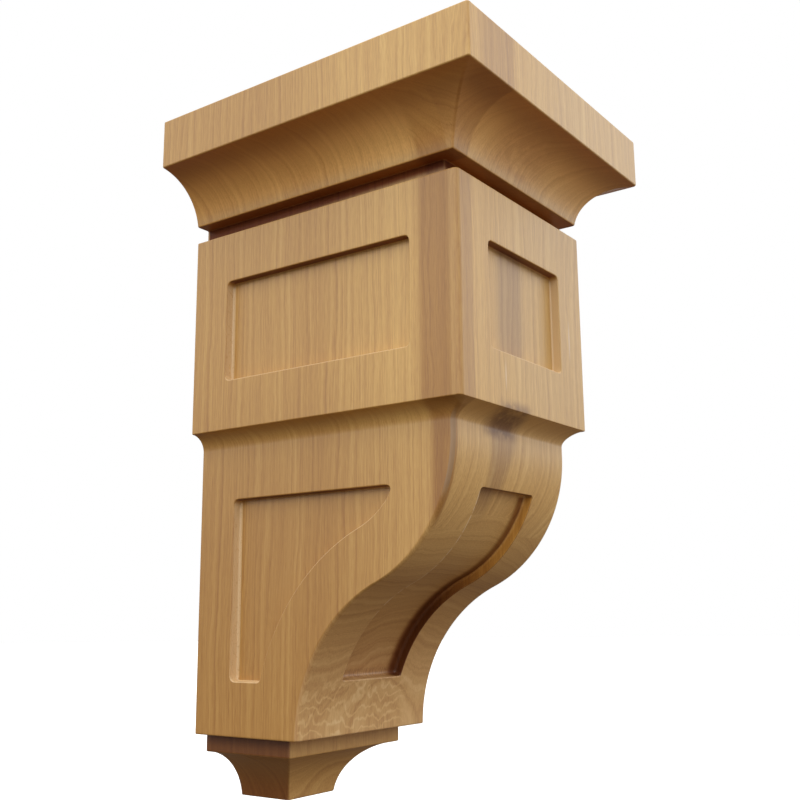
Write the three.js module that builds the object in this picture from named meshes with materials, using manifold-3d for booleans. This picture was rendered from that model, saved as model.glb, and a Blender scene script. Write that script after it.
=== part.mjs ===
// A carved wooden corbel, the bracket that is fixed to a wall and carries a shelf or a mantel on its cap.
// It is one piece of wood: a square cap over a cove, a sunk neck, a panelled block, a lower part with an
// S-curved front, and a small coved drop at the foot.
// Millimetres. +Z is up, the back lies on the wall plane y = 0, and the front looks along -Y.

import * as THREE from 'three';
import { mergeVertices } from 'three/addons/utils/BufferGeometryUtils.js';
import Module from 'manifold-3d';

// Plan sizes: the whole width, the depth from the wall, and the rounding of the two front corners
const CAP = { width: 177.8, depth: 194.2, corner: 1.2 };
const COVE_FOOT = { width: 124.4, depth: 167.8, corner: 1.2 };
const NECK = { width: 108.8, depth: 158.0, corner: 1.2 };
const BLOCK = { width: 123.5, depth: 169.4, corner: 2.5 };
const SHANK_TOP = { width: 106.3, depth: 159.5, corner: 2.0 };
const SHANK_FOOT = { width: 106.3, depth: 68.1, corner: 2.0 };
const DROP = { width: 90.0, depth: 56.6, corner: 1.0 };
const DROP_FOOT = { width: 36.9, depth: 32.5, corner: 1.0 };

// Heights, from the foot up
const DROP_COVE_HEIGHT = 24.7;
const DROP_FILLET_HEIGHT = 9.2;
const SHANK_HEIGHT = 144.3;
const SCOTIA_HEIGHT = 8.8;
const BLOCK_HEIGHT = 107.0;
const NECK_HEIGHT = 9.1;
const COVE_HEIGHT = 25.8;
const FASCIA_HEIGHT = 26.7;

const DROP_TOP = DROP_COVE_HEIGHT + DROP_FILLET_HEIGHT;
const SHANK_TOP_Z = DROP_TOP + SHANK_HEIGHT;
const BLOCK_FOOT_Z = SHANK_TOP_Z + SCOTIA_HEIGHT;
const BLOCK_TOP_Z = BLOCK_FOOT_Z + BLOCK_HEIGHT;
const COVE_FOOT_Z = BLOCK_TOP_Z + NECK_HEIGHT;
const FASCIA_FOOT_Z = COVE_FOOT_Z + COVE_HEIGHT;
const HEIGHT = FASCIA_FOOT_Z + FASCIA_HEIGHT;

// Radii of the hollow mouldings, and of the upper, bulging half of the S-curve
const CAP_COVE_RADIUS = 29.9;
const SCOTIA_RADIUS = 8.75;
const DROP_COVE_RADIUS = 28.4;
const S_UPPER_RADIUS = 71.4;
// The S-curve starts this far under the scotia; above it the front is upright
const S_START_DROP = 5.5;

// Sunk panels: their depth, the rounding of their corners, and the frame of wood left around them
const PANEL_DEPTH = 4.8;
const PANEL_CORNER = 3.2;
const PANEL_BACK_MARGIN = 23.5;
const BLOCK_PANEL = { foot: 213.2, top: 267.0, frontMargin: 27.5 };
const FRONT_PANEL = { foot: 213.8, top: 266.2, width: 70.4 };
const SHANK_PANEL = { foot: 60.5, top: 151.5, edgeMargin: 28.0 };
const SCROLL_PANEL = { foot: 60.5, top: 150.4, width: 49.0, corner: 2.0 };
// How far each cutting solid stands out of the face that it cuts
const CUT_MARGIN = 5.0;
// Straight room, in corner radii, that a rounded corner takes from a curved edge
const CORNER_ROOM = 2.2;

// How finely the round shapes are faceted
const COVE_FACETS = 12;
const S_FACETS = 22;
const CORNER_FACETS = 3;

// The mount on the wall is at the middle of the back's height, and it is the part's origin
const MOUNT_HEIGHT = HEIGHT / 2;

const wasm = await Module();
wasm.setup();

// The S-curve is two arcs that meet smoothly and are both upright at their outer ends
const sTopZ = SHANK_TOP_Z - S_START_DROP;
const sRun = SHANK_TOP.depth - SHANK_FOOT.depth;
const sRise = sTopZ - DROP_TOP;
const sTurn = 2 * Math.atan2(sRun, sRise);
const sLowerRadius = sRise / Math.sin(sTurn) - S_UPPER_RADIUS;
const sUpperCentre = { y: -SHANK_TOP.depth + S_UPPER_RADIUS, z: sTopZ };
const sLowerCentre = { y: -SHANK_FOOT.depth - sLowerRadius, z: DROP_TOP };

// A point of the S-curve, t from 0 at its foot to 2 at its top, sunk into the wood by some millimetres
function sPoint(t, sunk = 0) {
  if (t <= 1) {
    const angle = t * sTurn;
    const radius = sLowerRadius + sunk;
    return { y: sLowerCentre.y + radius * Math.cos(angle), z: sLowerCentre.z + radius * Math.sin(angle) };
  }
  const angle = (2 - t) * sTurn;
  const radius = S_UPPER_RADIUS - sunk;
  return { y: sUpperCentre.y - radius * Math.cos(angle), z: sUpperCentre.z - radius * Math.sin(angle) };
}

// Where the sunk S-curve passes a height
function sAtHeight(z, sunk = 0) {
  if (z <= sPoint(1, sunk).z) return Math.asin((z - sLowerCentre.z) / (sLowerRadius + sunk)) / sTurn;
  return 2 - Math.asin((sUpperCentre.z - z) / (S_UPPER_RADIUS - sunk)) / sTurn;
}

// A level of the body: one height with its plan size, part of the way from one plan to another
function level(z, plan, other = plan, share = 0) {
  const between = (key) => plan[key] + (other[key] - plan[key]) * share;
  return { z, half: between('width') / 2, depth: between('depth'), corner: between('corner') };
}

// A hollow moulding that widens from a foot to a top along an arc whose centre is outside the wood
function coveLevels(foot, top, footZ, height, radius) {
  const inset = (top.width - foot.width) / 2;
  const chord = Math.hypot(inset, height);
  const away = Math.sqrt(radius ** 2 - (chord / 2) ** 2);
  const centre = { x: inset / 2 + (height / chord) * away, z: height / 2 - (inset / chord) * away };
  const first = Math.atan2(-centre.z, -centre.x);
  const last = Math.atan2(height - centre.z, inset - centre.x);
  const sweep = THREE.MathUtils.euclideanModulo(last - first, 2 * Math.PI) - 2 * Math.PI;
  return Array.from({ length: COVE_FACETS + 1 }, (_, i) => {
    const angle = first + (sweep * i) / COVE_FACETS;
    const x = centre.x + radius * Math.cos(angle);
    return level(footZ + centre.z + radius * Math.sin(angle), foot, top, x / inset);
  });
}

function shankLevels() {
  const levels = [];
  for (let i = 0; i <= 2 * S_FACETS; i += 1) {
    const { y, z } = sPoint(i / S_FACETS);
    levels.push({ ...level(z, SHANK_FOOT), depth: -y });
  }
  return levels;
}

function bodyLevels() {
  return [
    ...coveLevels(DROP_FOOT, DROP, 0, DROP_COVE_HEIGHT, DROP_COVE_RADIUS),
    level(DROP_TOP, DROP),
    ...shankLevels(),
    ...coveLevels(SHANK_TOP, BLOCK, SHANK_TOP_Z, SCOTIA_HEIGHT, SCOTIA_RADIUS),
    level(BLOCK_TOP_Z, BLOCK),
    level(BLOCK_TOP_Z, NECK),
    level(COVE_FOOT_Z, NECK),
    ...coveLevels(COVE_FOOT, CAP, COVE_FOOT_Z, COVE_HEIGHT, CAP_COVE_RADIUS),
    level(HEIGHT, CAP),
  ];
}

// One level's outline, from the wall along the left side, the front and the right side back to the wall
function outline({ half, depth, corner }) {
  const points = [[-half, 0]];
  for (const side of [-1, 1]) {
    for (let i = 0; i <= CORNER_FACETS; i += 1) {
      const step = side < 0 ? i : CORNER_FACETS - i;
      const angle = (step / CORNER_FACETS) * (Math.PI / 2);
      const x = half - corner + corner * Math.cos(angle);
      points.push([side * x, -(depth - corner + corner * Math.sin(angle))]);
    }
  }
  points.push([half, 0]);
  return points;
}

// A closed solid from rings of equal length: walls between the rings, and flat caps on the two ends.
// With an open ring, the last flat face joins the two ends of every ring: here, the back on the wall.
function ringSolid(rings, backPlane) {
  const count = rings[0].length;
  const positions = rings.flat(2);
  const faces = [];
  const spans = backPlane ? count - 1 : count;
  for (let r = 0; r + 1 < rings.length; r += 1) {
    for (let i = 0; i < spans; i += 1) {
      const next = (i + 1) % count;
      const [a, b] = [r * count + i, r * count + next];
      const [c, d] = [b + count, a + count];
      faces.push(a, b, c, a, c, d);
    }
  }
  const cap = (points, indexOf, flip) => {
    const flat = points.map(([u, v]) => new THREE.Vector2(u, v));
    for (const [a, b, c] of THREE.ShapeUtils.triangulateShape(flat, [])) {
      faces.push(...(flip ? [c, b, a] : [a, b, c]).map(indexOf));
    }
  };
  cap(rings[0], (i) => i, true);
  cap(rings.at(-1), (i) => (rings.length - 1) * count + i, false);
  if (backPlane) {
    const left = rings.map((_, r) => r * count);
    const edge = [...left, ...left.map((i) => i + count - 1).reverse()];
    cap(edge.map((i) => [positions[3 * i], positions[3 * i + 2]]), (i) => edge[i], true);
  }
  return toManifold(positions, faces);
}

function toManifold(positions, faces) {
  const vertProperties = new Float32Array(positions);
  return new wasm.Manifold(new wasm.Mesh({ numProp: 3, vertProperties, triVerts: new Uint32Array(faces) }));
}

// A three.js geometry as a solid, with its shared vertices merged
function solidFrom(geometry) {
  geometry.deleteAttribute('normal');
  geometry.deleteAttribute('uv');
  const merged = mergeVertices(geometry, 1e-4);
  return toManifold(merged.attributes.position.array, merged.index.array);
}

function body() {
  const rings = bodyLevels().map((at) => outline(at).map(([x, y]) => [x, y, at.z]));
  return ringSolid(rings, true);
}

// A flat shape from corner points, each corner rounded, and plain points between them
function panelShape(points) {
  const shape = new THREE.Shape();
  points.forEach(({ at, round }, i) => {
    const before = points.at(i - 1).at;
    const after = points[(i + 1) % points.length].at;
    if (!round) {
      shape.lineTo(at.x, at.y);
      return;
    }
    const [back, ahead] = [before.clone().sub(at), after.clone().sub(at)];
    const reach = PANEL_CORNER / Math.tan(back.angleTo(ahead) / 2);
    const [start, end] = [back.setLength(reach).add(at), ahead.setLength(reach).add(at)];
    if (i === 0) shape.moveTo(start.x, start.y);
    else shape.lineTo(start.x, start.y);
    shape.quadraticCurveTo(at.x, at.y, end.x, end.y);
  });
  return shape;
}

const rounded = (x, y) => ({ at: new THREE.Vector2(x, y), round: true });
const plain = (x, y) => ({ at: new THREE.Vector2(x, y), round: false });

function rectangle(low, high, foot, top) {
  return panelShape([rounded(low, foot), rounded(high, foot), rounded(high, top), rounded(low, top)]);
}

// The lower side panel follows the S-curve at a constant distance, with room at both ends for round corners
function shankPanelShape() {
  const { foot, top, edgeMargin } = SHANK_PANEL;
  const [footAt, topAt] = [sAtHeight(foot, edgeMargin), sAtHeight(top, edgeMargin)];
  const onEdge = (i) => {
    const { y, z } = sPoint(footAt + ((topAt - footAt) * i) / S_FACETS, edgeMargin);
    return new THREE.Vector2(y, z);
  };
  const [low, high] = [onEdge(0), onEdge(S_FACETS)];
  const room = CORNER_ROOM * PANEL_CORNER;
  const between = Array.from({ length: S_FACETS }, (_, i) => onEdge(i))
    .filter((p) => Math.min(p.distanceTo(low), p.distanceTo(high)) > room);
  return panelShape([
    rounded(-PANEL_BACK_MARGIN, foot),
    rounded(low.x, low.y),
    ...between.map((p) => plain(p.x, p.y)),
    rounded(high.x, high.y),
    rounded(-PANEL_BACK_MARGIN, top),
  ]);
}

// The solid that a panel takes away: its shape, cut into the wood along an axis from a face
function panelCut(shape, across, up, out, face) {
  const depth = PANEL_DEPTH + CUT_MARGIN;
  const how = { depth, bevelEnabled: false, curveSegments: CORNER_FACETS };
  const geometry = new THREE.ExtrudeGeometry(shape, how);
  geometry.applyMatrix4(new THREE.Matrix4().makeBasis(across, up, out));
  geometry.translate(...out.clone().multiplyScalar(face - PANEL_DEPTH).toArray());
  return solidFrom(geometry);
}

// The long panel on the S-curved front sinks square to the curve
function scrollCut() {
  const { foot, top, width, corner } = SCROLL_PANEL;
  const [from, to] = [sAtHeight(foot), sAtHeight(top)];
  const arcLength = ((to - from) * sTurn * (S_UPPER_RADIUS + sLowerRadius)) / 2;
  const ends = Array.from({ length: CORNER_FACETS + 1 }, (_, i) =>
    corner * (1 - Math.cos((i / CORNER_FACETS) * (Math.PI / 2))));
  const middle = Array.from({ length: 2 * S_FACETS - 1 }, (_, i) =>
    ends.at(-1) + ((arcLength - 2 * ends.at(-1)) * (i + 1)) / (2 * S_FACETS));
  const places = [...ends, ...middle, ...ends.map((e) => arcLength - e).reverse()];
  const rings = places.map((s) => {
    const near = Math.min(s, arcLength - s, corner);
    const half = width / 2 - corner + Math.sqrt(corner ** 2 - (corner - near) ** 2);
    const t = from + ((to - from) * s) / arcLength;
    const [inner, outer] = [sPoint(t, PANEL_DEPTH), sPoint(t, -CUT_MARGIN)];
    const section = [[-half, inner], [-half, outer], [half, outer], [half, inner]];
    return section.map(([x, { y, z }]) => [x, y, z]);
  });
  return ringSolid(rings, false);
}

function cuts() {
  const across = new THREE.Vector3(1, 0, 0);
  const forward = new THREE.Vector3(0, -1, 0);
  const up = new THREE.Vector3(0, 0, 1);
  const front = rectangle(-FRONT_PANEL.width / 2, FRONT_PANEL.width / 2, FRONT_PANEL.foot, FRONT_PANEL.top);
  const all = [panelCut(front, across, up, forward, BLOCK.depth)];
  const { foot, top, frontMargin } = BLOCK_PANEL;
  const sides = [
    [rectangle(-BLOCK.depth + frontMargin, -PANEL_BACK_MARGIN, foot, top), BLOCK.width / 2],
    [shankPanelShape(), SHANK_TOP.width / 2],
  ];
  for (const [shape, face] of sides) {
    const right = panelCut(shape, forward.clone().negate(), up, across, face);
    all.push(right, right.mirror([1, 0, 0]));
  }
  all.push(scrollCut());
  return all;
}

function corbelMesh() {
  let wood = body();
  for (const cut of cuts()) wood = wood.subtract(cut);
  const { vertProperties, triVerts } = wood.getMesh();
  const geometry = new THREE.BufferGeometry();
  geometry.setAttribute('position', new THREE.BufferAttribute(vertProperties, 3));
  geometry.setIndex(new THREE.BufferAttribute(triVerts, 1));
  geometry.computeVertexNormals();
  const finish = { color: 0xb98f5f, roughness: 0.42, metalness: 0, flatShading: true };
  const mesh = new THREE.Mesh(geometry, new THREE.MeshStandardMaterial(finish));
  mesh.name = 'carved_corbel';
  mesh.position.z = -MOUNT_HEIGHT;
  return mesh;
}

const corbel = new THREE.Group();
corbel.add(corbelMesh());

export default corbel;
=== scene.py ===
import math

import bmesh
import bpy
import numpy as np
from mathutils import Euler, Matrix, Vector


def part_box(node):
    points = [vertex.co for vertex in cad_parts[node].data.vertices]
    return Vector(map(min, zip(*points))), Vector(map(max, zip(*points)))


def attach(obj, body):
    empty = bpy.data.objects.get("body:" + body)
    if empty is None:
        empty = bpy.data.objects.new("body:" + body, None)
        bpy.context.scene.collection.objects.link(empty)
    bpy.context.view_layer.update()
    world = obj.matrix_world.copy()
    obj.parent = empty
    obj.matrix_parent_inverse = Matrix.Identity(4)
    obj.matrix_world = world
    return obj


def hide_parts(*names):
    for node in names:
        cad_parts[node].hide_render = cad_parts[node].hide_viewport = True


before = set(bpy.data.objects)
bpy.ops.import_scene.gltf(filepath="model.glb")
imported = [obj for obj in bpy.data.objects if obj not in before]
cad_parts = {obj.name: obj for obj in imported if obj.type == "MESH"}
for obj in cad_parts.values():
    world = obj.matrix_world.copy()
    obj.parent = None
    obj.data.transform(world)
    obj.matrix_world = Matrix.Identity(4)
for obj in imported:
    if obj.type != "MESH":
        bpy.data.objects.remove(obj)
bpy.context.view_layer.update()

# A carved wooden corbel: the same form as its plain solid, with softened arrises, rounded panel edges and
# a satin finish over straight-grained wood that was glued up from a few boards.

BOX_LOW, BOX_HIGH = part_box("carved_corbel")
MM = 0.001

# Overall size, in millimetres as all lengths below, read from the frame
HEIGHT = (BOX_HIGH[2] - BOX_LOW[2]) / MM
FOOT_Z = BOX_LOW[2] / MM
CAP_WIDTH = (BOX_HIGH[0] - BOX_LOW[0]) / MM
CAP_DEPTH = (BOX_HIGH[1] - BOX_LOW[1]) / MM

# Plan sizes: whole width, depth from the wall, rounding of the two front corners
CAP = (CAP_WIDTH, CAP_DEPTH, 1.4)
COVE_FOOT = (124.4, 167.8, 1.2)
NECK = (108.8, 158.0, 1.2)
BLOCK = (123.5, 169.4, 2.6)
SHANK_TOP = (106.3, 159.5, 2.2)
SHANK_FOOT = (106.3, 68.1, 2.2)
DROP = (90.0, 56.6, 1.0)
DROP_FOOT = (36.9, 32.5, 1.0)

# Heights above the foot
DROP_COVE_TOP = 24.7
DROP_TOP = 33.9
SHANK_TOP_Z = 178.2
BLOCK_FOOT_Z = 187.0
BLOCK_TOP_Z = 294.0
COVE_FOOT_Z = 303.1
FASCIA_FOOT_Z = 328.9

# Radii of the hollow mouldings and of the upper half of the S-curve, and where the S-curve starts
CAP_COVE_RADIUS = 29.9
SCOTIA_RADIUS = 8.75
DROP_COVE_RADIUS = 28.4
S_UPPER_RADIUS = 71.4
UPRIGHT_ABOVE_S = 5.5
S_TOP_Z = SHANK_TOP_Z - UPRIGHT_ABOVE_S

# Sunk panels
PANEL_DEPTH = 4.8
PANEL_CORNER = 3.2
PANEL_BACK_MARGIN = 23.5
BLOCK_PANEL_Z = (213.2, 267.0)
BLOCK_PANEL_FRONT_MARGIN = 27.5
FRONT_PANEL_Z = (213.8, 266.2)
FRONT_PANEL_WIDTH = 70.4
SHANK_PANEL_Z = (60.5, 151.5)
SHANK_PANEL_EDGE_MARGIN = 28.0
SCROLL_PANEL_Z = (60.5, 150.4)
SCROLL_PANEL_WIDTH = 49.0
SCROLL_PANEL_CORNER = 2.0
ARRIS_ROUND = 0.6
BED_FILLET = 0.7
SCROLL_BED_FILLET = 1.8
# How far a cutter stands out of the face, and how many corner radii the plain points keep from a corner
CUT_MARGIN = 4.0
CORNER_ROOM = 2.2

# Softening of the level arrises and inner corners
SOFT_ARRIS = 0.9
SOFT_BLOCK_FOOT = 2.0
SOFT_INNER = 0.7
# The most of a straight run that a softening may take
SOFT_SHARE = 0.9
# How much fuller the scotia is on the front than on the sides
FRONT_SCOTIA_FILL = 2.4

# Fineness
COVE_FACETS = 22
S_FACETS = 40
CORNER_FACETS = 7
SOFT_FACETS = 5
SMOOTH_ANGLE = math.radians(28)

# The S-curve: two arcs that meet smoothly and are upright at their outer ends
S_RUN = SHANK_TOP[1] - SHANK_FOOT[1]
S_RISE = S_TOP_Z - DROP_TOP
S_TURN = 2 * math.atan2(S_RUN, S_RISE)
S_LOWER_RADIUS = S_RISE / math.sin(S_TURN) - S_UPPER_RADIUS
S_UPPER_CENTRE = (-SHANK_TOP[1] + S_UPPER_RADIUS, S_TOP_Z)
S_LOWER_CENTRE = (-SHANK_FOOT[1] - S_LOWER_RADIUS, DROP_TOP)


def s_point(t, sunk=0.0):
    """(y, z) on the S-curve, t from 0 at its foot to 2 at its top, sunk into the wood by some millimetres."""
    if t <= 1:
        angle, radius = t * S_TURN, S_LOWER_RADIUS + sunk
        return S_LOWER_CENTRE[0] + radius * math.cos(angle), S_LOWER_CENTRE[1] + radius * math.sin(angle)
    angle, radius = (2 - t) * S_TURN, S_UPPER_RADIUS - sunk
    return S_UPPER_CENTRE[0] - radius * math.cos(angle), S_UPPER_CENTRE[1] - radius * math.sin(angle)


def s_at_height(z, sunk=0.0):
    """The t at which the sunk S-curve passes a height."""
    if z <= s_point(1, sunk)[1]:
        return math.asin((z - S_LOWER_CENTRE[1]) / (S_LOWER_RADIUS + sunk)) / S_TURN
    return 2 - math.asin((S_UPPER_CENTRE[1] - z) / (S_UPPER_RADIUS - sunk)) / S_TURN


def level(z, plan, other=None, share=0.0, soft=0.0):
    """One level of the body: half width, depth, height, corner rounding, and the softening of its arris."""
    width, depth, corner = np.array(plan) + (np.array(other or plan) - np.array(plan)) * share
    return np.array([width / 2, depth, z, corner, soft])


def cove(foot, top, foot_z, top_z, radius):
    """Levels of a hollow moulding, without its two ends, along an arc centred outside the wood."""
    inset, height = (top[0] - foot[0]) / 2, top_z - foot_z
    chord = math.hypot(inset, height)
    away = math.sqrt(radius**2 - (chord / 2) ** 2)
    cx = inset / 2 + height / chord * away
    cz = height / 2 - inset / chord * away
    first = math.atan2(-cz, -cx) % (2 * math.pi)
    last = math.atan2(height - cz, inset - cx) % (2 * math.pi)
    levels = []
    for i in range(1, COVE_FACETS):
        angle = first + (last - first) * i / COVE_FACETS
        share = (cx + radius * math.cos(angle)) / inset
        levels.append(level(foot_z + cz + radius * math.sin(angle), foot, top, share))
    return levels


def s_levels():
    """Levels of the S-curved lower part, above its foot."""
    levels = []
    for i in range(1, 2 * S_FACETS + 1):
        y, z = s_point(i / S_FACETS)
        at = level(z, SHANK_FOOT)
        at[1] = -y
        levels.append(at)
    return levels


def scotia():
    """The small hollow under the block, fullest halfway out on the front."""
    levels = cove(SHANK_TOP, BLOCK, SHANK_TOP_Z, BLOCK_FOOT_Z, SCOTIA_RADIUS)
    for at in levels:
        share = (at[0] - SHANK_TOP[0] / 2) / ((BLOCK[0] - SHANK_TOP[0]) / 2)
        at[1] += FRONT_SCOTIA_FILL * 4 * share * (1 - share)
    return levels


def end_face(z, plan):
    """The level inside an end face that leaves room for the softening of its arris."""
    return level(z, (plan[0] - 4 * SOFT_ARRIS, plan[1] - 2 * SOFT_ARRIS, plan[2]))


def body_levels():
    """All levels from the foot to the top."""
    return [
        end_face(0.0, DROP_FOOT),
        level(0.0, DROP_FOOT, soft=SOFT_ARRIS),
        *cove(DROP_FOOT, DROP, 0.0, DROP_COVE_TOP, DROP_COVE_RADIUS),
        level(DROP_COVE_TOP, DROP, soft=SOFT_ARRIS),
        level(DROP_TOP, DROP, soft=SOFT_INNER),
        level(DROP_TOP, SHANK_FOOT, soft=SOFT_ARRIS),
        *s_levels(),
        level(SHANK_TOP_Z, SHANK_TOP),
        *scotia(),
        level(BLOCK_FOOT_Z, BLOCK, soft=SOFT_BLOCK_FOOT),
        level(BLOCK_TOP_Z, BLOCK, soft=SOFT_ARRIS),
        level(BLOCK_TOP_Z, NECK, soft=SOFT_INNER),
        level(COVE_FOOT_Z, NECK, soft=SOFT_INNER),
        level(COVE_FOOT_Z, COVE_FOOT, soft=SOFT_ARRIS),
        *cove(COVE_FOOT, CAP, COVE_FOOT_Z, FASCIA_FOOT_Z, CAP_COVE_RADIUS),
        level(FASCIA_FOOT_Z, CAP, soft=SOFT_ARRIS),
        level(HEIGHT, CAP, soft=SOFT_ARRIS),
        end_face(HEIGHT, CAP),
    ]


def run_length(a, b):
    """How far apart two levels are, along the side or the front, whichever is more."""
    return math.hypot(max(abs(b[0] - a[0]), abs(b[1] - a[1])), b[2] - a[2])


def bend(start, corner, end, facets):
    """Points on the smooth curve that rounds off a corner."""
    steps = [i / facets for i in range(facets + 1)]
    return [start * (1 - t) ** 2 + corner * 2 * t * (1 - t) + end * t**2 for t in steps]


def softened(levels):
    """The levels with each marked arris or inner corner turned into a small round."""
    out = [levels[0]]
    for before, at, after in zip(levels, levels[1:], levels[2:]):
        radius = min(at[4], run_length(before, at) * SOFT_SHARE, run_length(at, after) * SOFT_SHARE)
        if radius <= 0:
            out.append(at)
            continue
        start = at + (before - at) * radius / run_length(before, at)
        end = at + (after - at) * radius / run_length(at, after)
        out += bend(start, at, end, SOFT_FACETS)
    out.append(levels[-1])
    return out


def quarter_turn(facets):
    """Angles from 0 to 90 degrees."""
    return [math.pi / 2 * i / facets for i in range(facets + 1)]


def outline(at):
    """One level's points, from the wall along the left side, the front and the right side to the wall."""
    half, depth, z, corner, _ = at
    side, front = half - corner, depth - corner
    right = [
        (side + corner * math.cos(a), -(front + corner * math.sin(a)), z) for a in quarter_turn(CORNER_FACETS)
    ]
    left = [(-x, y, z) for x, y, z in right]
    return [(-half, 0.0, z), *left, *reversed(right), (half, 0.0, z)]


def mesh_object(name, points, faces):
    """A mesh object at the origin, from points in millimetres above the corbel's foot."""
    mesh = bpy.data.meshes.new(name)
    placed = (np.array(points) + (0.0, 0.0, FOOT_Z)) * MM
    mesh.from_pydata(placed.tolist(), [], faces)
    mesh.validate()
    made = bpy.data.objects.new(name, mesh)
    bpy.context.scene.collection.objects.link(made)
    return made


def ring_faces(ring_count, size, closed):
    """Quads between rings of equal size."""
    faces = []
    for r in range(ring_count - 1):
        for i in range(size if closed else size - 1):
            a, b = r * size + i, r * size + (i + 1) % size
            faces.append((a, b, b + size, a + size))
    return faces


def flat_ends(ring_count, size):
    """One flat face on each end of a stack of rings."""
    last = (ring_count - 1) * size
    return [tuple(reversed(range(size))), tuple(range(last, last + size))]


def bent_ends(ring_count, size):
    """A ladder of quads on each end, from each point of a ring to its mirror image."""
    faces = []
    for first, flip in ((0, True), ((ring_count - 1) * size, False)):
        for i in range(size // 2 - 1):
            rung = [first + k for k in (i, i + 1, size - 2 - i, size - 1 - i)]
            faces.append(tuple(reversed(rung) if flip else rung))
    return faces


def face_outward(made):
    """Turns every face of a closed mesh to point out of it."""
    edit = bmesh.new()
    edit.from_mesh(made.data)
    bmesh.ops.recalc_face_normals(edit, faces=edit.faces)
    edit.to_mesh(made.data)
    edit.free()


def make_body():
    rings = [outline(at) for at in softened(body_levels())]
    size = len(rings[0])
    faces = ring_faces(len(rings), size, closed=False) + flat_ends(len(rings), size)
    left = [r * size for r in range(len(rings))]
    faces.append((*reversed(left), *(i + size - 1 for i in left)))
    return mesh_object("carved_wood", sum(rings, []), faces)


def rounded_shape(corners, between=(), radius=PANEL_CORNER):
    """A closed outline of (u, v) points: the corners, rounded, then the plain points after the last one."""
    points = []
    ring = [np.array(p, float) for p in [*corners, *between]]
    for i, at in enumerate(ring):
        if i >= len(corners):
            points.append(at)
            continue
        before, after = ring[i - 1], ring[(i + 1) % len(ring)]
        back = (before - at) / np.linalg.norm(before - at)
        ahead = (after - at) / np.linalg.norm(after - at)
        reach = radius / math.tan(math.acos(back @ ahead) / 2)
        points += bend(at + back * reach, at, at + ahead * reach, CORNER_FACETS)
    return points


def outward(shape):
    """The direction that points out of the shape at each of its points; the shape runs anticlockwise."""
    points = np.array(shape)
    along = np.roll(points, -1, axis=0) - np.roll(points, 1, axis=0)
    normal = np.stack([along[:, 1], -along[:, 0]], axis=1)
    return normal / np.linalg.norm(normal, axis=1, keepdims=True)


def sinking_steps(fillet):
    """(growth of the outline, depth) from above the face, round its arris, down the wall and into the bed."""
    turn = quarter_turn(SOFT_FACETS)
    arris = [(ARRIS_ROUND * (1 - math.sin(a)), ARRIS_ROUND * (1 - math.cos(a))) for a in turn]
    bed = [(-fillet * (1 - math.cos(a)), PANEL_DEPTH - fillet * (1 - math.sin(a))) for a in turn]
    return [(ARRIS_ROUND, -CUT_MARGIN), *arris, *bed]


def cutter(name, shape, place, ends=flat_ends, fillet=BED_FILLET):
    """The solid that a panel takes away. place turns (u, v, depth) into a point of the corbel."""
    normals = outward(shape)
    rings = []
    for growth, depth in sinking_steps(fillet):
        grown = np.array(shape) + normals * growth
        rings.append([place(u, v, depth) for u, v in grown])
    faces = ring_faces(len(rings), len(shape), closed=True) + ends(len(rings), len(shape))
    made = mesh_object(name, sum(rings, []), faces)
    face_outward(made)
    return made


def rectangle(low, high, foot, top):
    """A rectangular panel's outline, with its corners rounded."""
    return rounded_shape([(low, foot), (high, foot), (high, top), (low, top)])


def shank_panel_shape():
    """The lower side panel in (-y, z): its front edge follows the S-curve at a constant distance."""
    foot, top = SHANK_PANEL_Z
    sunk = SHANK_PANEL_EDGE_MARGIN
    t_foot, t_top = s_at_height(foot, sunk), s_at_height(top, sunk)
    edge = [s_point(t_foot + (t_top - t_foot) * i / S_FACETS, sunk) for i in range(S_FACETS + 1)]
    edge = [(-y, z) for y, z in edge]
    corners = [edge[-1], (PANEL_BACK_MARGIN, top), (PANEL_BACK_MARGIN, foot), edge[0]]
    room = CORNER_ROOM * PANEL_CORNER
    between = [p for p in edge if min(math.dist(p, edge[0]), math.dist(p, edge[-1])) > room]
    return rounded_shape(corners, between)


def scroll_panel():
    """The long panel of the S-curved front as (across, along) and its bend onto the curve."""
    t_foot, t_top = (s_at_height(z) for z in SCROLL_PANEL_Z)
    length = (t_top - t_foot) * S_TURN * (S_LOWER_RADIUS + S_UPPER_RADIUS) / 2
    half = SCROLL_PANEL_WIDTH / 2
    corner = SCROLL_PANEL_CORNER
    steps = [corner + (length - 2 * corner) * i / S_FACETS for i in range(S_FACETS + 1)]
    corners = rounded_shape([(half, 0), (half, length), (-half, length), (-half, 0)], radius=corner)
    quarter = CORNER_FACETS + 1
    up, down = [(half, s) for s in steps[1:-1]], [(-half, s) for s in reversed(steps[1:-1])]
    shape = [*corners[:quarter], *up, *corners[quarter : 3 * quarter], *down, *corners[3 * quarter :]]

    def place(u, v, depth):
        y, z = s_point(t_foot + (t_top - t_foot) * v / length, depth)
        return (u, y, z)

    return shape, place


def panel_cutters():
    """The six solids that cut the panels: one in the block's front, two in each side, and the long one."""
    block_side = rectangle(PANEL_BACK_MARGIN, BLOCK[1] - BLOCK_PANEL_FRONT_MARGIN, *BLOCK_PANEL_Z)
    shank_side = shank_panel_shape()
    front = rectangle(-FRONT_PANEL_WIDTH / 2, FRONT_PANEL_WIDTH / 2, *FRONT_PANEL_Z)
    made = [cutter("cut_front", front, lambda u, v, d: (u, -BLOCK[1] + d, v))]
    for side, word in ((-1, "left"), (1, "right")):
        for part, shape, width in (("block", block_side, BLOCK[0]), ("shank", shank_side, SHANK_TOP[0])):
            place = lambda u, v, d, side=side, half=width / 2: (side * (half - d), -u, v)
            made.append(cutter(f"cut_{part}_{word}", shape, place))
    made.append(cutter("cut_scroll", *scroll_panel(), ends=bent_ends, fillet=SCROLL_BED_FILLET))
    return made


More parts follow.
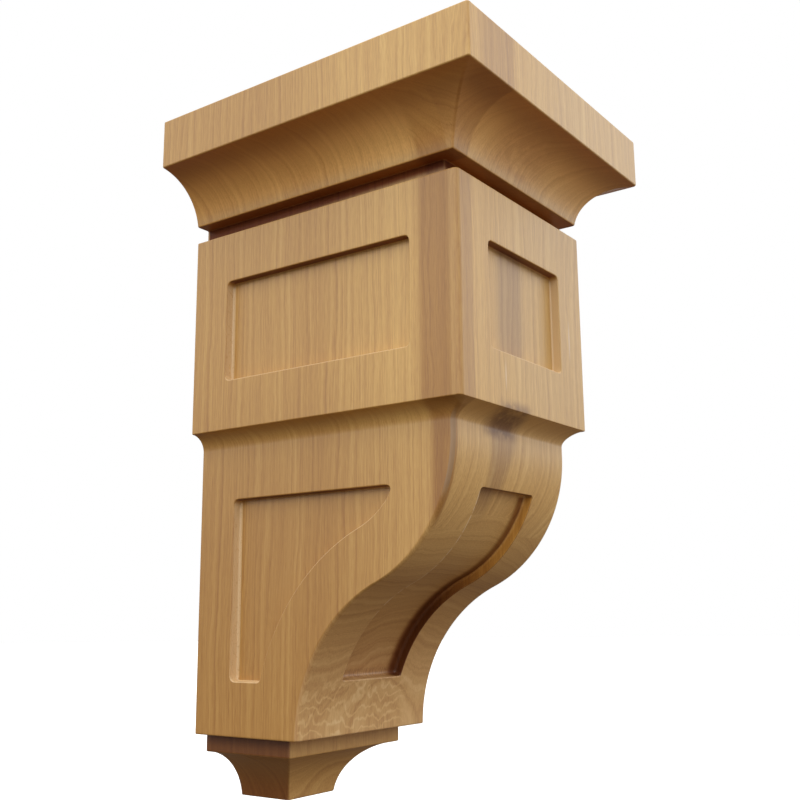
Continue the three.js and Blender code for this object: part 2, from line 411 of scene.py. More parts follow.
def make_corbel():
    """The body with its panels cut, as one mesh."""
    corbel = make_body()
    face_outward(corbel)
    for cut in panel_cutters():
        carve = corbel.modifiers.new(cut.name, "BOOLEAN")
        carve.operation, carve.solver, carve.object = "DIFFERENCE", "MANIFOLD", cut
        carved = bpy.data.meshes.new_from_object(corbel.evaluated_get(bpy.context.evaluated_depsgraph_get()))
        corbel.modifiers.clear()
        corbel.data = carved
        bpy.data.objects.remove(cut)
    corbel.data.shade_smooth()
    corbel.data.set_sharp_from_angle(angle=SMOOTH_ANGLE)
    even = corbel.modifiers.new("flat faces stay flat", "WEIGHTED_NORMAL")
    even.keep_sharp = True
    return corbel


class Graph:
    """Short calls for the nodes of one node tree. Values are sockets or plain numbers."""

    def __init__(self, tree):
        self.tree = tree

    def node(self, kind, **settings):
        made = self.tree.nodes.new(kind)
        for key, value in settings.items():
            setattr(made, key, value)
        return made

    def feed(self, socket, value):
        if isinstance(value, bpy.types.NodeSocket):
            self.tree.links.new(value, socket)
        else:
            socket.default_value = value

    def feed_all(self, made, values):
        """Feeds a node's inputs from the first on."""
        for socket, value in zip(made.inputs, values):
            self.feed(socket, value)
        return made

    def math(self, operation, *values):
        return self.feed_all(self.node("ShaderNodeMath", operation=operation), values).outputs[0]

    def add(self, first, *others):
        for other in others:
            first = self.math("ADD", first, other)
        return first

    def times(self, first, *others):
        for other in others:
            first = self.math("MULTIPLY", first, other)
        return first

    def minus(self, a, b):
        return self.math("SUBTRACT", a, b)

    def most(self, a, b):
        return self.math("MAXIMUM", a, b)

    def size(self, value):
        return self.math("ABSOLUTE", value)

    def ramp(self, value, low, high, to_low=0.0, to_high=1.0):
        """The change from low to high, smoothed and held at its ends."""
        made = self.node("ShaderNodeMapRange", interpolation_type="SMOOTHSTEP")
        return self.feed_all(made, (value, low, high, to_low, to_high)).outputs[0]

    def fall(self, value, low, high):
        """1 below low and 0 above high."""
        return self.ramp(value, low, high, 1.0, 0.0)

    def window(self, value, low, high, soft):
        """1 between low and high, with a soft edge at each."""
        start = self.ramp(value, low - soft, low + soft)
        return self.times(start, self.fall(value, high - soft, high + soft))

    def join(self, x, y, z):
        return self.feed_all(self.node("ShaderNodeCombineXYZ"), (x, y, z)).outputs[0]

    def split(self, vector):
        return self.feed_all(self.node("ShaderNodeSeparateXYZ"), (vector,)).outputs

    def noise(self, place, per_mm, detail, roughness):
        """Noise from 0 to 1 with so many features to the millimetre in x, y and height."""
        made = self.node("ShaderNodeTexNoise", noise_dimensions="3D")
        scaled = [self.times(part, rate) for part, rate in zip(place, per_mm)]
        self.feed(made.inputs["Vector"], self.join(*scaled))
        return self.noise_output(made, 1.0, detail, roughness)

    def noise_line(self, value, per_mm, detail, roughness):
        """Noise from 0 to 1 along one value."""
        made = self.node("ShaderNodeTexNoise", noise_dimensions="1D")
        self.feed(made.inputs["W"], value)
        return self.noise_output(made, per_mm, detail, roughness)

    def noise_output(self, made, scale, detail, roughness):
        """Sets what all noise nodes share."""
        for name, value in (("Scale", scale), ("Detail", detail), ("Roughness", roughness)):
            self.feed(made.inputs[name], value)
        return made.outputs["Fac"]

    def swing(self, noise, reach):
        """Noise turned into a swing to both sides of 0, as wide as its reach."""
        return self.times(self.add(noise, -0.5), reach)

    def mix(self, share, a, b, blend="MIX"):
        made = self.node("ShaderNodeMix", data_type="RGBA", blend_type=blend)
        for name, value in (("Factor_Float", share), ("A_Color", a), ("B_Color", b)):
            self.feed(next(s for s in made.inputs if s.identifier == name), value)
        return next(s for s in made.outputs if s.identifier == "Result_Color")

    def tint(self, share, colour, by):
        """The colour multiplied by another one, where the share is 1."""
        return self.mix(share, colour, by, blend="MULTIPLY")

    def colours(self, value, stops):
        made = self.node("ShaderNodeValToRGB")
        elements = made.color_ramp.elements
        while len(elements) < len(stops):
            elements.new(0.5)
        for element, (position, colour) in zip(elements, stops):
            element.position, element.color = position, (*colour, 1.0)
        self.feed(made.inputs[0], value)
        return made.outputs[0]


# The boards that the blank was glued up from, from the front towards the wall: where each starts (y in
# millimetres), and where the middle of its tree lay (x, y), which sets how its growth rings run
BOARDS = [
    (-145.8, (190.0, 20.0)),
    (-98.0, (-20.0, 170.0)),
    (-50.0, (12.0, 150.0)),
    (100.0, (60.0, 210.0)),
]

# How the rings wander: features to the millimetre in x, y and height, detail, roughness, and reach in
# millimetres
WANDERS = [
    ((1 / 48, 1 / 48, 1 / 210), 2.0, 0.5, 13.0),
    ((1 / 7, 1 / 7, 1 / 30), 2.0, 0.55, 1.9),
    ((1 / 2.6, 1 / 5, 1 / 6), 1.0, 0.5, 0.7),
]

# Bands across the rings: features to the millimetre, detail, roughness, and how far they move the tone
BANDS = [(0.36, 4.0, 0.74, 0.80), (0.035, 2.0, 0.5, 0.30)]
YEAR_WIDTH = 2.7
YEAR_DRIFT = (0.06, 2.0, 0.5)
YEAR_DRIFT_REACH = 5.0
YEAR_END_SHARPNESS = 5.0
YEAR_END_TONE = -0.10

# The fine structure, as noise in x, y and height, and how far it moves the tone
FIBRE = ((1.5, 1.5, 1 / 20), 3.0, 0.6)
FIBRE_REACH = 0.48
PORES = ((2.4, 2.4, 1 / 5), 1.0, 0.5)
PORES_REACH = 0.30

# Wood colours from the dark end of the grain's tone to the pale end, and the tone in the middle
GRAIN_COLOURS = [
    (0.10, (0.320, 0.140, 0.033)),
    (0.38, (0.445, 0.231, 0.060)),
    (0.55, (0.515, 0.285, 0.077)),
    (0.75, (0.580, 0.344, 0.102)),
    (1.00, (0.650, 0.420, 0.142)),
]
MIDDLE_TONE = 0.52

# Zones of the wood: a name that ends in _X, _Y or _Z is a range across the corbel, away from the wall
# (negative) or above its foot. A third number is the softness of its ends, and where there are four, the last
# two are the values at the ends. A range that ends in _FACING is how far the surface turns that way.

# The grain is fainter where a face above the S-curve looks up or down
FAINT_FACING = (0.1, 0.9, 1.0, 0.5)
FULL_GRAIN_Z = (176.0, 186.0)

# The figure on the foot of the S-curve: noise, its reach in lines, and the tone by the distance from a line
FLAME_SWAY = ((1 / 18, 0.0, 1 / 22), 2.0, 0.5)
FLAME_SWAY_REACH = 5.5
FLAME_TEETH = ((1 / 3.4, 0.0, 1 / 6), 2.0, 0.6)
FLAME_TEETH_REACH = 0.9
FLAME_SPACING = 7
FLAME_TONE = (0.03, 0.20, 0.20, -0.06)
FLAME_X = (-60.0, 30.0, 10.0)
FLAME_Z = (33.0, 62.0, 6.0)
FLAME_FACING = (-0.9, -0.6)

# Whole boards, and painted light and shade on faces by the way they look
FRONT_BOARDS_TINT = (1.22, 1.33, 1.48, 1.0)
FRONT_BOARDS_Y = (-140.0, -75.0)
# Painted shade: the sides darker towards the bottom
LOW_SIDE_SHADE = (0.84, 0.79, 0.77, 1.0)
LOW_SIDE_Z = (120.0, 230.0)
# Painted sheen that greys the front faces, more towards the right and upwards
FRONT_FACE_SHEEN = (0.94, 0.99, 1.17, 1.0)
FRONT_FACE_X = (-85.0, 20.0)
FRONT_FACE_Z = (150.0, 200.0)
# Painted light, paler and bluer, on the faces of the S-curve and below it that look forward
CURVED_FRONT_LIGHT = (1.02, 1.06, 1.26, 1.0)
CURVED_FRONT_FACING = (0.1, 0.5)
CURVED_FRONT_Z = (179.0, 188.0)
# Painted light on the foot of the S-curved front, and painted shade in the long panel's bed there
FRONT_FOOT_LIGHT = (1.12, 1.19, 1.50, 1.0)
FRONT_FOOT_Z = (60.0, 110.0)
BED_FOOT_SHADE = (0.90, 0.85, 0.98, 1.0)
BED_X = (24.2, 24.8)
BED_Z = (60.6, 61.2)
ABOVE_DROP_Z = (33.0, 34.0)

# The brown heart near the left arris, and the yellow strip in front of it
HEART_TINT = (0.66, 0.545, 0.420, 1.0)
HEART_RIGHT_X = (-50.6, -49.0)
HEART_LEFT_X = (-84.0, -72.0)
HEART_FRONT_Y = (-165.7, -163.9)
HEART_BACK_Y = (-149.8, -144.6)
HEART_PALER_Z = (303.0, 326.0, 1.0, 0.35)
HEART_WAVE = 0.10
YELLOW_STRIP_TINT = (0.785, 0.72, 0.69, 1.0)

# The grey-brown streak inside the front boards: how far left of the middle it runs, and its half width
STREAK_TINT = (0.70, 0.66, 0.71, 1.0)
STREAK_OFFSET_Z = (150.0, 178.0, 13.0, 8.5)
STREAK_HALF_WIDTH_Z = (150.0, 180.0, 8.0, 12.5)
STREAK_EDGE = (-5.0, 4.0)
STREAK_Y = (-166.4, -140.0, 2.0)
STREAK_Z = (140.0, 298.0, 8.0)
STREAK_WAVE = 0.4

# Blotched stains under the block and in the cap's cove: tint, x, y, height, and the blotches' share
BLOTCHES = ((0.16, 0.16, 0.16), 3.0, 0.6)
STAINS = [
    (
        (0.46, 0.38, 0.36, 1.0),
        (-26.0, 0.0, 7.0), (-156.0, -153.0), (175.0, 190.0, 3.0),
        (0.35, 0.55, 0.45, 1.0),
    ),
    (
        (0.84, 0.77, 0.76, 1.0),
        (-30.0, 14.0, 12.0), (-168.0, -166.0), (306.0, 325.0, 5.0),
        (0.3, 0.6, 0.3, 1.0),
    ),
]

# Painted shade on the faces that look straight down, which are cut square across the fibres: tint and height,
# for the underside of the cap's lip, the cove's top, and the tops of the panels
SQUARE_SHARPNESS = 6.0
PANEL_TOP_SHADE = (0.36, 0.16, 0.09, 1.0)
UNDERSIDE_SHADES = [
    ((0.55, 0.34, 0.26, 1.0), (296.0, 304.2, 0.6)),
    ((0.96, 0.74, 0.74, 1.0), (305.0, 330.0, 1.0)),
    (PANEL_TOP_SHADE, (264.6, 268.4, 0.6)),
    (PANEL_TOP_SHADE, (148.6, 153.0, 0.6)),
]
# Painted light in the middle of the cap's cove
COVE_MIDDLE_LIGHT = (1.32, 1.28, 1.34, 1.0)
COVE_MIDDLE_FACING = (0.25, 0.85, 0.15)
COVE_MIDDLE_Z = (303.5, 327.0, 3.0)

# Painted shade in the groove between the cap and the block, and the sides of the drop
NECK_SHADE = (0.28, 0.115, 0.045, 1.0)
NECK_X = (-57.0, -55.5)
NECK_Y = (-1.5, -0.5)
NECK_Z = (294.2, 303.4, 0.2)
NECK_SHADOW_EDGE_Y = (-160.0, 0.0, 297.6, 295.2)
NECK_SHADOW_FADE = (-1.0, 3.0, 0.25, 1.0)
DROP_SIDE_TINT = (0.34, 0.21, 0.15, 1.0)
DROP_SIDE_Z = (33.4, 34.0)
# Painted shade at the top of the drop's side fillet, under the S-curve's foot
DROP_SHADE_TINT = (0.55, 0.45, 0.34, 1.0)
DROP_SHADE_X = (-46.0, -44.0)
DROP_SHADE_Z = (27.0, 31.5)

# Painted sheen on the left arris of the S-curve's upper half, over the dark heart's colour
ARRIS_SHEEN = (0.33, 0.215, 0.120, 1.0)
ARRIS_SHEEN_SHARE = 0.8
ARRIS_SHEEN_FACING = (0.05, 0.3)
ARRIS_SHEEN_X = (-50.6, -50.0)
ARRIS_SHEEN_Y = (-134.0, -130.0)
ARRIS_SHEEN_Z = (146.0, 182.0, 5.0)

# Painted light in the plain panels: on their ends, broken up by the cutter's rough cut, and on edges that
# look upwards
PANEL_WALL_LIGHT = (0.74, 0.53, 0.29, 1.0)
CHATTER = ((0.7, 0.7, 0.55), 3.0, 0.7)
CHATTER_SHARE = (0.30, 0.46, 0.50, 0.95)
BACK_WALL_Y = (-25.2, -22.9, 0.4)
BLOCK_WALL_X = (61.0, 61.5)
BLOCK_WALL_Z = (214.5, 265.5, 1.0)
SHANK_WALL_X = (52.4, 52.9)
SHANK_WALL_Z = (61.8, 150.2, 1.0)
FRONT_WALL_SHARE = 0.85
FRONT_WALL_X = (34.3, 35.8, 0.25)
FRONT_WALL_BACK_Y = (-163.0, -161.0)
FRONT_WALL_FACE_Y = (-169.3, -168.6)
FRONT_WALL_Z = (215.0, 265.0, 1.0)
UPWARD_SHARE = 0.6
UPWARD_FACING = (0.15, 0.5)
UPWARD_Z = (57.0, 272.0, 2.0)
BESIDE_SCROLL_X = (27.0, 29.0)
ABOVE_SCROLL_Z = (190.0, 192.0)

# And in the long panel of the S-curved front: painted light on the right wall, dark lower down, painted shade
# in the corner along the bed, a painted highlight on the scratched left arris, and lines down the foot wall
SCROLL_X = (24.7, 25.0)
SCROLL_Y = (-62.0, -60.0)
SCROLL_Z = (60.8, 149.8, 0.5)
# Painted light on the upper part of the right wall
WALL_LIGHT_TINT = (1.20, 1.05, 0.70, 1.0)
GOLDEN_FACING = (-0.85, -0.45)
GOLDEN_X = (20.0, 21.0)
GOLDEN_Z = (92.0, 116.0)
# Painted shade in the corner along the bed
BED_CORNER_SHADE = (0.42, 0.28, 0.20, 1.0)
BED_CORNER_X = (16.5, 21.5)
# The right wall and the bed beside it darker towards the foot
LOW_WALL_DARK = (0.64, 0.48, 0.36, 1.0)
LOW_WALL_DARK_X = (14.5, 20.0)
LOW_WALL_DARK_Z = (96.0, 126.0)
# Painted highlight along the left arris, broken up by scratches
ARRIS_HIGHLIGHT = (0.80, 0.64, 0.42, 1.0)
PALE_SHARE = 0.8
PALE_X = (-25.5, -24.3, 0.2)
PALE_Z = (94.0, 149.0, 6.0)
SCRATCHES = (0.35, 2.0, 0.6)
SCRATCHES_SHARE = (0.34, 0.50)
FOOT_WALL_TINT = (0.66, 0.60, 0.62, 1.0)
FOOT_WALL_X = (17.0, 19.0)
FOOT_WALL_Z = (65.0, 66.4)
FOOT_WALL_LINES = (1.1, 3.0, 0.7)
FOOT_WALL_LINES_SHARE = (0.40, 0.56)

# Small pale flecks on the block's front: x, height, half width and half height
FLECKS = [(-22.1, 203.0, 0.5, 5.0), (45.5, 233.5, 0.6, 7.0)]
FLECK_COLOUR = (0.80, 0.68, 0.50, 1.0)
FLECK_SHARE = 0.5
FLECK_Y = (-166.0, -165.0)

# The satin finish, with its bumps in millimetres
ROUGHNESS_BY_FIBRE = (0.2, 0.8, 0.36, 0.46)
SPECULAR = 0.5
COAT = 0.15
COAT_ROUGHNESS = 0.28
BUMP_STRENGTH = 0.25
BUMP_HEIGHT = 0.12
YEAR_END_BUMP = -0.3


def growth_rings(g, place):
    """Distance from the middle of each board's tree, with the wander of the grain in it, and that wander."""
    x, y, _ = place
    wander = g.add(*(g.swing(g.noise(place, *pattern), reach) for *pattern, reach in WANDERS))
    pith_x, pith_y = BOARDS[-1][1]
    for edge, (next_x, next_y) in reversed(BOARDS[:-1]):
        ahead = g.math("LESS_THAN", y, edge)
        pith_x = g.add(g.times(ahead, g.minus(next_x, pith_x)), pith_x)
        pith_y = g.add(g.times(ahead, g.minus(next_y, pith_y)), pith_y)
    from_x = g.minus(g.add(x, wander), pith_x)
    from_y = g.minus(g.add(y, wander), pith_y)
    return g.math("SQRT", g.add(g.times(from_x, from_x), g.times(from_y, from_y))), wander


def grain_tone(g, place, rings):
    """The grain's tone, the fine fibre in it, and the dark line that ends each year."""
    years = g.add(g.times(rings, 1 / YEAR_WIDTH), g.times(g.noise_line(rings, *YEAR_DRIFT), YEAR_DRIFT_REACH))
    year_end = g.math("POWER", g.math("FRACT", years), YEAR_END_SHARPNESS)
    fibre = g.noise(place, *FIBRE)
    parts = [g.swing(g.noise_line(rings, *pattern), reach) for *pattern, reach in BANDS]
    parts.append(g.times(year_end, YEAR_END_TONE))
    parts.append(g.swing(fibre, FIBRE_REACH))
    parts.append(g.swing(g.noise(place, *PORES), PORES_REACH))
    return g.add(*parts, MIDDLE_TONE), fibre, year_end


def flame_figure(g, place, facing_y):
    """Jagged pale lines on the foot of the S-curved front, where the cut runs along the growth rings."""
    x, _, height = place
    sway = g.times(g.noise(place, *FLAME_SWAY), FLAME_SWAY_REACH)
    teeth = g.times(g.noise(place, *FLAME_TEETH), FLAME_TEETH_REACH)
    from_line = g.math("PINGPONG", g.add(g.times(height, 1 / FLAME_SPACING), sway, teeth), 0.5)
    here = g.times(g.window(height, *FLAME_Z), g.window(x, *FLAME_X), g.fall(facing_y, *FLAME_FACING))
    return g.times(g.ramp(from_line, *FLAME_TONE), here)


def tint_boards_and_paint_light(g, colour, place, facing):
    """The paler front boards, and painted light and shade by the way a face looks: shade low on the sides,
    sheen and light on the fronts, shade in the long panel's bed at the foot.
    """
    x, y, height = place
    side, front = g.size(facing[0]), g.most(g.times(facing[1], -1.0), 0.0)
    above_drop = g.ramp(height, *ABOVE_DROP_Z)
    colour = g.tint(g.fall(y, *FRONT_BOARDS_Y), colour, FRONT_BOARDS_TINT)
    # Painted shade: the sides darker towards the bottom
    colour = g.tint(g.times(side, g.fall(height, *LOW_SIDE_Z), above_drop), colour, LOW_SIDE_SHADE)
    # Painted sheen on the front faces
    face = g.times(front, g.ramp(x, *FRONT_FACE_X), g.ramp(height, *FRONT_FACE_Z))
    colour = g.tint(face, colour, FRONT_FACE_SHEEN)
    # Painted light on the forward-looking faces of the S-curve
    curved = g.times(g.ramp(front, *CURVED_FRONT_FACING), g.fall(height, *CURVED_FRONT_Z))
    colour = g.tint(curved, colour, CURVED_FRONT_LIGHT)
    # Painted light on the foot of the S-curved front, and painted shade in the long panel's bed there
    bed = g.times(g.fall(g.size(x), *BED_X), g.ramp(height, *BED_Z))
    foot = g.times(curved, above_drop, g.fall(height, *FRONT_FOOT_Z))
    colour = g.tint(g.times(foot, bed), colour, BED_FOOT_SHADE)
    return g.tint(g.times(foot, g.minus(1.0, bed)), colour, FRONT_FOOT_LIGHT)


def tint_heart(g, colour, place, wander):
    """The brown heart near the left arris, and the yellow strip in front of it."""
    x, y, height = place
    edge_y = g.add(y, g.times(wander, HEART_WAVE))
    below_top = g.fall(height, HEIGHT - SOFT_ARRIS, HEIGHT)
    left = g.times(g.fall(x, *HEART_RIGHT_X), g.ramp(x, *HEART_LEFT_X), below_top)
    before = g.ramp(edge_y, *HEART_FRONT_Y)
    heart = g.times(g.fall(edge_y, *HEART_BACK_Y), before, left, g.ramp(height, *HEART_PALER_Z))
    colour = g.tint(heart, colour, HEART_TINT)
    return g.tint(g.times(g.minus(1.0, before), left), colour, YELLOW_STRIP_TINT)


def tint_streak(g, colour, place, wander):
    """The streak inside the front boards, which narrows downwards, and the blotched stains."""
    x, y, height = place
    from_middle = g.size(g.add(x, g.times(wander, STREAK_WAVE), g.ramp(height, *STREAK_OFFSET_Z)))
    past_edge = g.minus(from_middle, g.ramp(height, *STREAK_HALF_WIDTH_Z))
    inside = g.times(g.fall(past_edge, *STREAK_EDGE), g.window(y, *STREAK_Y), g.window(height, *STREAK_Z))
    colour = g.tint(inside, colour, STREAK_TINT)
    blotches = g.noise(place, *BLOTCHES)
    for tint, across, behind, up, blotched in STAINS:
        here = g.times(g.window(x, *across), g.window(height, *up), g.fall(y, *behind))
        colour = g.tint(g.times(here, g.ramp(blotches, *blotched)), colour, tint)
    return colour


def neck_groove_shade(g, place, across_x, across_y):
    """Where painted shade falls in the groove between the cap and the block: 1 on its upright walls, less
    along its foot.
    """
    x, y, height = place
    above_light = g.minus(height, g.ramp(y, *NECK_SHADOW_EDGE_Y))
    inside = g.times(g.window(height, *NECK_Z), g.ramp(x, *NECK_X), g.fall(y, *NECK_Y))
    return g.times(inside, g.most(across_x, across_y), g.ramp(above_light, *NECK_SHADOW_FADE))


def paint_shade_cove_light_and_drop_sides(g, colour, place, across):
    """Painted shade on faces that look straight down and atop the drop's fillet, darker drop sides, painted
    light in the cove.
    """
    x, _, height = place
    across_x, _, across_z = across
    # Painted shade on the faces that look straight down
    square = g.math("POWER", across_z, SQUARE_SHARPNESS)
    for tint, up in UNDERSIDE_SHADES:
        colour = g.tint(g.times(square, g.window(height, *up)), colour, tint)
    # Painted light in the middle of the cap's cove
    cove_light = g.times(g.window(across_z, *COVE_MIDDLE_FACING), g.window(height, *COVE_MIDDLE_Z))
    colour = g.tint(cove_light, colour, COVE_MIDDLE_LIGHT)
    drop_side = g.times(across_x, g.fall(height, *DROP_SIDE_Z))
    colour = g.tint(drop_side, colour, DROP_SIDE_TINT)
    # Painted shade at the top of the drop's side fillet
    shade = g.times(drop_side, g.ramp(height, *DROP_SHADE_Z), g.fall(x, *DROP_SHADE_X))
    return g.tint(shade, colour, DROP_SHADE_TINT)


def paint_arris_sheen(g, colour, place, across_x, across_y):
    """Painted sheen on the left arris of the S-curve's upper half, over the dark heart's colour."""
    x, y, height = place
    corner = g.ramp(g.times(across_x, across_y, g.fall(x, *ARRIS_SHEEN_X)), *ARRIS_SHEEN_FACING)
    here = g.times(g.window(height, *ARRIS_SHEEN_Z), g.fall(y, *ARRIS_SHEEN_Y))
    return g.mix(g.times(corner, here, ARRIS_SHEEN_SHARE), colour, ARRIS_SHEEN)


def paint_light_in_plain_panels(g, colour, place, facing):
    """Painted light on the end walls and the upward-looking edges of the panels in the block and in the
    shank's sides.
    """
    x, y, height = place
    from_middle = g.size(x)
    in_block = g.times(g.window(height, *BLOCK_WALL_Z), g.fall(from_middle, *BLOCK_WALL_X))
    in_shank = g.times(g.window(height, *SHANK_WALL_Z), g.fall(from_middle, *SHANK_WALL_X))
    rough = g.ramp(g.noise(place, *CHATTER), *CHATTER_SHARE)
    back_wall = g.times(g.window(y, *BACK_WALL_Y), g.most(in_block, in_shank), rough)
    in_front = g.times(g.fall(y, *FRONT_WALL_BACK_Y), g.ramp(y, *FRONT_WALL_FACE_Y))
    front_wall = g.times(g.window(x, *FRONT_WALL_X), g.window(height, *FRONT_WALL_Z), in_front)
    # Painted light on the panels' end walls, broken up by the rough cut
    colour = g.mix(g.most(back_wall, g.times(front_wall, FRONT_WALL_SHARE)), colour, PANEL_WALL_LIGHT)
    # Painted light on the edges that look upwards
    off_scroll = g.most(g.ramp(from_middle, *BESIDE_SCROLL_X), g.ramp(height, *ABOVE_SCROLL_Z))
    upward = g.times(g.ramp(facing[2], *UPWARD_FACING), g.window(height, *UPWARD_Z), off_scroll, UPWARD_SHARE)
    return g.mix(upward, colour, PANEL_WALL_LIGHT)


def paint_scroll_panel_light_and_shade(g, colour, place, facing):
    """Painted light high on the long panel's right wall, darker low down, painted shade along the bed, a
    painted highlight on the scratched arris, and the foot wall.
    """
    x, y, height = place
    in_front = g.fall(y, *SCROLL_Y)
    inside = g.times(g.window(height, *SCROLL_Z), in_front, g.fall(g.size(x), *SCROLL_X))
    # Painted light on the upper part of the right wall
    wall = g.times(g.fall(facing[0], *GOLDEN_FACING), inside, g.ramp(x, *GOLDEN_X))
    lit_wall = g.times(wall, g.ramp(height, *GOLDEN_Z))
    colour = g.tint(lit_wall, colour, WALL_LIGHT_TINT)
    # Painted shade in the corner along the bed
    bed_corner_shade = g.times(g.ramp(x, *BED_CORNER_X), g.minus(1.0, lit_wall), inside)
    colour = g.tint(bed_corner_shade, colour, BED_CORNER_SHADE)
    # The right wall and the bed beside it darker towards the foot
    lower_dark = g.times(g.ramp(x, *LOW_WALL_DARK_X), g.fall(height, *LOW_WALL_DARK_Z), inside)
    colour = g.tint(lower_dark, colour, LOW_WALL_DARK)
    # Painted highlight along the left arris, broken up by scratches
    scratched = g.ramp(g.noise_line(height, *SCRATCHES), *SCRATCHES_SHARE)
    arris = g.times(g.window(x, *PALE_X), g.window(height, *PALE_Z), scratched, in_front, PALE_SHARE)
    colour = g.mix(arris, colour, ARRIS_HIGHLIGHT)
    lines = g.fall(g.noise_line(x, *FOOT_WALL_LINES), *FOOT_WALL_LINES_SHARE)
    foot_wall = g.times(g.fall(height, *FOOT_WALL_Z), inside, g.fall(x, *FOOT_WALL_X), lines)
    return g.tint(foot_wall, colour, FOOT_WALL_TINT)


def add_flecks(g, colour, place):
    """The small pale flecks on the block's front."""
    x, y, height = place
    for fleck_x, fleck_height, half_width, half_height in FLECKS:
        across = g.window(x, fleck_x - half_width, fleck_x + half_width, half_width)
        along = g.window(height, fleck_height - half_height, fleck_height + half_height, half_height)
        colour = g.mix(g.times(across, along, g.fall(y, *FLECK_Y), FLECK_SHARE), colour, FLECK_COLOUR)
    return colour


def wood_material():
    """The satin wood: the grain, then what lies in the boards, then painted light and shade and the cutter's
    marks.
    """
    material = bpy.data.materials.new("satin_corbel_wood")
    material.use_nodes = True
    material.node_tree.nodes.clear()
    g = Graph(material.node_tree)

    coordinates = g.node("ShaderNodeTexCoord")
    in_mm = g.node("ShaderNodeVectorMath", operation="SCALE")
    g.feed(in_mm.inputs[0], coordinates.outputs["Object"])
    g.feed(in_mm.inputs["Scale"], 1 / MM)
    x, y, z = g.split(in_mm.outputs[0])
    place = x, y, g.add(z, -FOOT_Z)
    facing = g.split(coordinates.outputs["Normal"])
    across = [g.size(part) for part in facing]

    rings, wander = growth_rings(g, place)
    tone, fibre, year_end = grain_tone(g, place, rings)
    contrast = g.most(g.ramp(across[2], *FAINT_FACING), g.fall(place[2], *FULL_GRAIN_Z))
    tone = g.add(g.times(g.add(tone, -MIDDLE_TONE), contrast), MIDDLE_TONE)
    tone = g.add(tone, flame_figure(g, place, facing[1]))

    colour = g.colours(tone, GRAIN_COLOURS)
    colour = tint_boards_and_paint_light(g, colour, place, facing)
    colour = tint_heart(g, colour, place, wander)
    colour = tint_streak(g, colour, place, wander)
    colour = paint_shade_cove_light_and_drop_sides(g, colour, place, across)
    # Painted shade in the groove between the cap and the block
    groove = neck_groove_shade(g, place, across[0], across[1])
    colour = g.tint(groove, colour, NECK_SHADE)
    # Painted sheen on the S-curve's left arris
    colour = paint_arris_sheen(g, colour, place, across[0], across[1])
    colour = paint_light_in_plain_panels(g, colour, place, facing)
    colour = paint_scroll_panel_light_and_shade(g, colour, place, facing)
    colour = add_flecks(g, colour, place)

    finish = g.node("ShaderNodeBsdfPrincipled")
    g.feed(finish.inputs["Base Color"], colour)
    # The finish is dull in the groove
    g.feed(finish.inputs["Roughness"], g.most(g.ramp(fibre, *ROUGHNESS_BY_FIBRE), groove))
    finish.inputs["Specular IOR Level"].default_value = SPECULAR
    finish.inputs["Coat Weight"].default_value = COAT
    finish.inputs["Coat Roughness"].default_value = COAT_ROUGHNESS
    bump = g.node("ShaderNodeBump")
    bump.inputs["Strength"].default_value = BUMP_STRENGTH
    bump.inputs["Distance"].default_value = BUMP_HEIGHT * MM
    g.feed(bump.inputs["Height"], g.add(fibre, g.times(year_end, YEAR_END_BUMP)))
    g.feed(finish.inputs["Normal"], bump.outputs[0])
    out = g.node("ShaderNodeOutputMaterial")
    g.feed(out.inputs["Surface"], finish.outputs[0])
    return material


# The camera stands left of the front and below the middle, as in the photograph: place in millimetres,
# heading from +Y towards +X, upward tilt and roll in degrees
CAMERA_PLACE = (-441.1, -409.7, -85.8)
CAMERA_HEADING = 54.21
CAMERA_TILT = 11.65
CAMERA_ROLL = -0.505
CAMERA_LENS = 47.06
SENSOR_WIDTH = 36.0


def make_camera():
    """The photograph's view."""
    data = bpy.data.cameras.new("camera")
    data.sensor_fit, data.sensor_width, data.lens = "HORIZONTAL", SENSOR_WIDTH, CAMERA_LENS
    data.clip_start, data.clip_end = 0.01, 100.0
    camera = bpy.data.objects.new("camera", data)
    bpy.context.scene.collection.objects.link(camera)
    turn = Euler((math.radians(90 + CAMERA_TILT), 0.0, math.radians(-CAMERA_HEADING))).to_matrix()
    turn = turn @ Matrix.Rotation(math.radians(CAMERA_ROLL), 3, "Z")
    camera.matrix_world = Matrix.LocRotScale(Vector(CAMERA_PLACE) * MM, turn.to_quaternion(), None)
    bpy.context.scene.camera = camera


# The studio's light by the direction that it comes from, in degrees: azimuth from straight in front towards
# the right, and elevation from level upwards. Level light all round, plus these: azimuth range, elevation
# range, softness of the edges, radiance, and colour.
LEVEL_LIGHT = 1.0
LEVEL_LIGHT_ENDS = (-9.0, 14.0)
ALL_ROUND = (-400.0, 400.0)
WARM, WHITE = (1.0, 0.70, 0.48), (1.0, 1.0, 1.0)
SOFT_LIGHTS = {
    "floor_glow": (ALL_ROUND, (-70.0, -4.0), 8.0, 0.17, WARM),
    "low_front": ((-50.0, 100.0), (-26.0, -2.0), 8.0, 0.22, WARM),
    "box_left": ((-135.0, -40.0), (9.0, 40.0), 8.0, 1.2, WHITE),
    "box_front": ((-40.0, 45.0), (9.0, 40.0), 8.0, 0.45, WHITE),
    "box_right": ((45.0, 80.0), (8.0, 38.0), 8.0, 0.9, WHITE),
    "ceiling_left": ((-130.0, 10.0), (40.0, 60.0), 8.0, 0.5, WHITE),
    "ceiling_top": (ALL_ROUND, (56.0, 120.0), 8.0, 1.05, WHITE),
}

# The floor, in metres
FLOOR_Z = -0.75
FLOOR_RADIUS = 30.0
FLOOR_FACETS = 96
FLOOR_COLOUR = (0.95, 0.95, 0.95, 1.0)
FLOOR_ROUGHNESS = 0.8


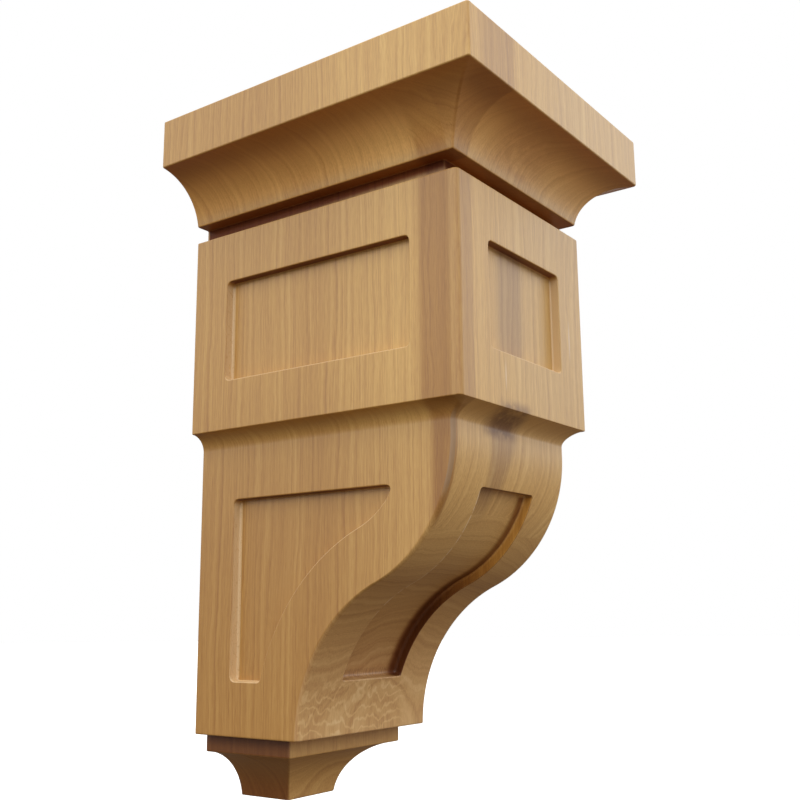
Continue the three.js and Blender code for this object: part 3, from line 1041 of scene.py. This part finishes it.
def make_world():
    """Soft light from the studio round the corbel, and plain white where the camera looks past it."""
    world = bpy.data.worlds.new("studio")
    bpy.context.scene.world = world
    world.use_nodes = True
    world.node_tree.nodes.clear()
    g = Graph(world.node_tree)
    x, y, z = g.split(g.node("ShaderNodeTexCoord").outputs["Generated"])
    azimuth = g.math("DEGREES", g.math("ARCTAN2", x, g.times(y, -1.0)))
    elevation = g.math("DEGREES", g.math("ARCSINE", z))
    level_light = g.ramp(elevation, *LEVEL_LIGHT_ENDS, 0.0, LEVEL_LIGHT)
    light = g.join(level_light, level_light, level_light)
    for across, up, soft, radiance, colour in SOFT_LIGHTS.values():
        shape = g.times(g.window(azimuth, *across, soft), g.window(elevation, *up, soft))
        glow = g.join(*(g.times(shape, radiance * part) for part in colour))
        light = g.feed_all(g.node("ShaderNodeVectorMath", operation="ADD"), (light, glow)).outputs[0]
    seen = g.node("ShaderNodeLightPath").outputs["Is Camera Ray"]
    sky = g.node("ShaderNodeBackground")
    g.feed(sky.inputs["Color"], g.mix(seen, light, (*WHITE, 1.0)))
    g.feed(g.node("ShaderNodeOutputWorld").inputs["Surface"], sky.outputs[0])


def make_floor():
    """A wide pale floor below the corbel."""
    mesh = bpy.data.meshes.new("floor")
    angles = np.linspace(0, 2 * math.pi, FLOOR_FACETS, endpoint=False)
    ring = [(FLOOR_RADIUS * math.cos(a), FLOOR_RADIUS * math.sin(a), FLOOR_Z) for a in angles]
    mesh.from_pydata(ring, [], [tuple(range(len(ring)))])
    floor = bpy.data.objects.new("floor", mesh)
    bpy.context.scene.collection.objects.link(floor)
    material = bpy.data.materials.new("pale_floor")
    material.use_nodes = True
    surface = material.node_tree.nodes["Principled BSDF"]
    surface.inputs["Base Color"].default_value = FLOOR_COLOUR
    surface.inputs["Roughness"].default_value = FLOOR_ROUGHNESS
    mesh.materials.append(material)
    # Light bounced up from the floor would wash out the undersides, which the photograph shows dark
    floor.visible_diffuse = floor.visible_glossy = False


make_camera()
corbel = make_corbel()
corbel.data.materials.clear()
corbel.data.materials.append(wood_material())
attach(corbel, "root")
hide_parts("carved_corbel")

make_world()
make_floor()
bpy.context.scene.view_settings.view_transform = "Standard"
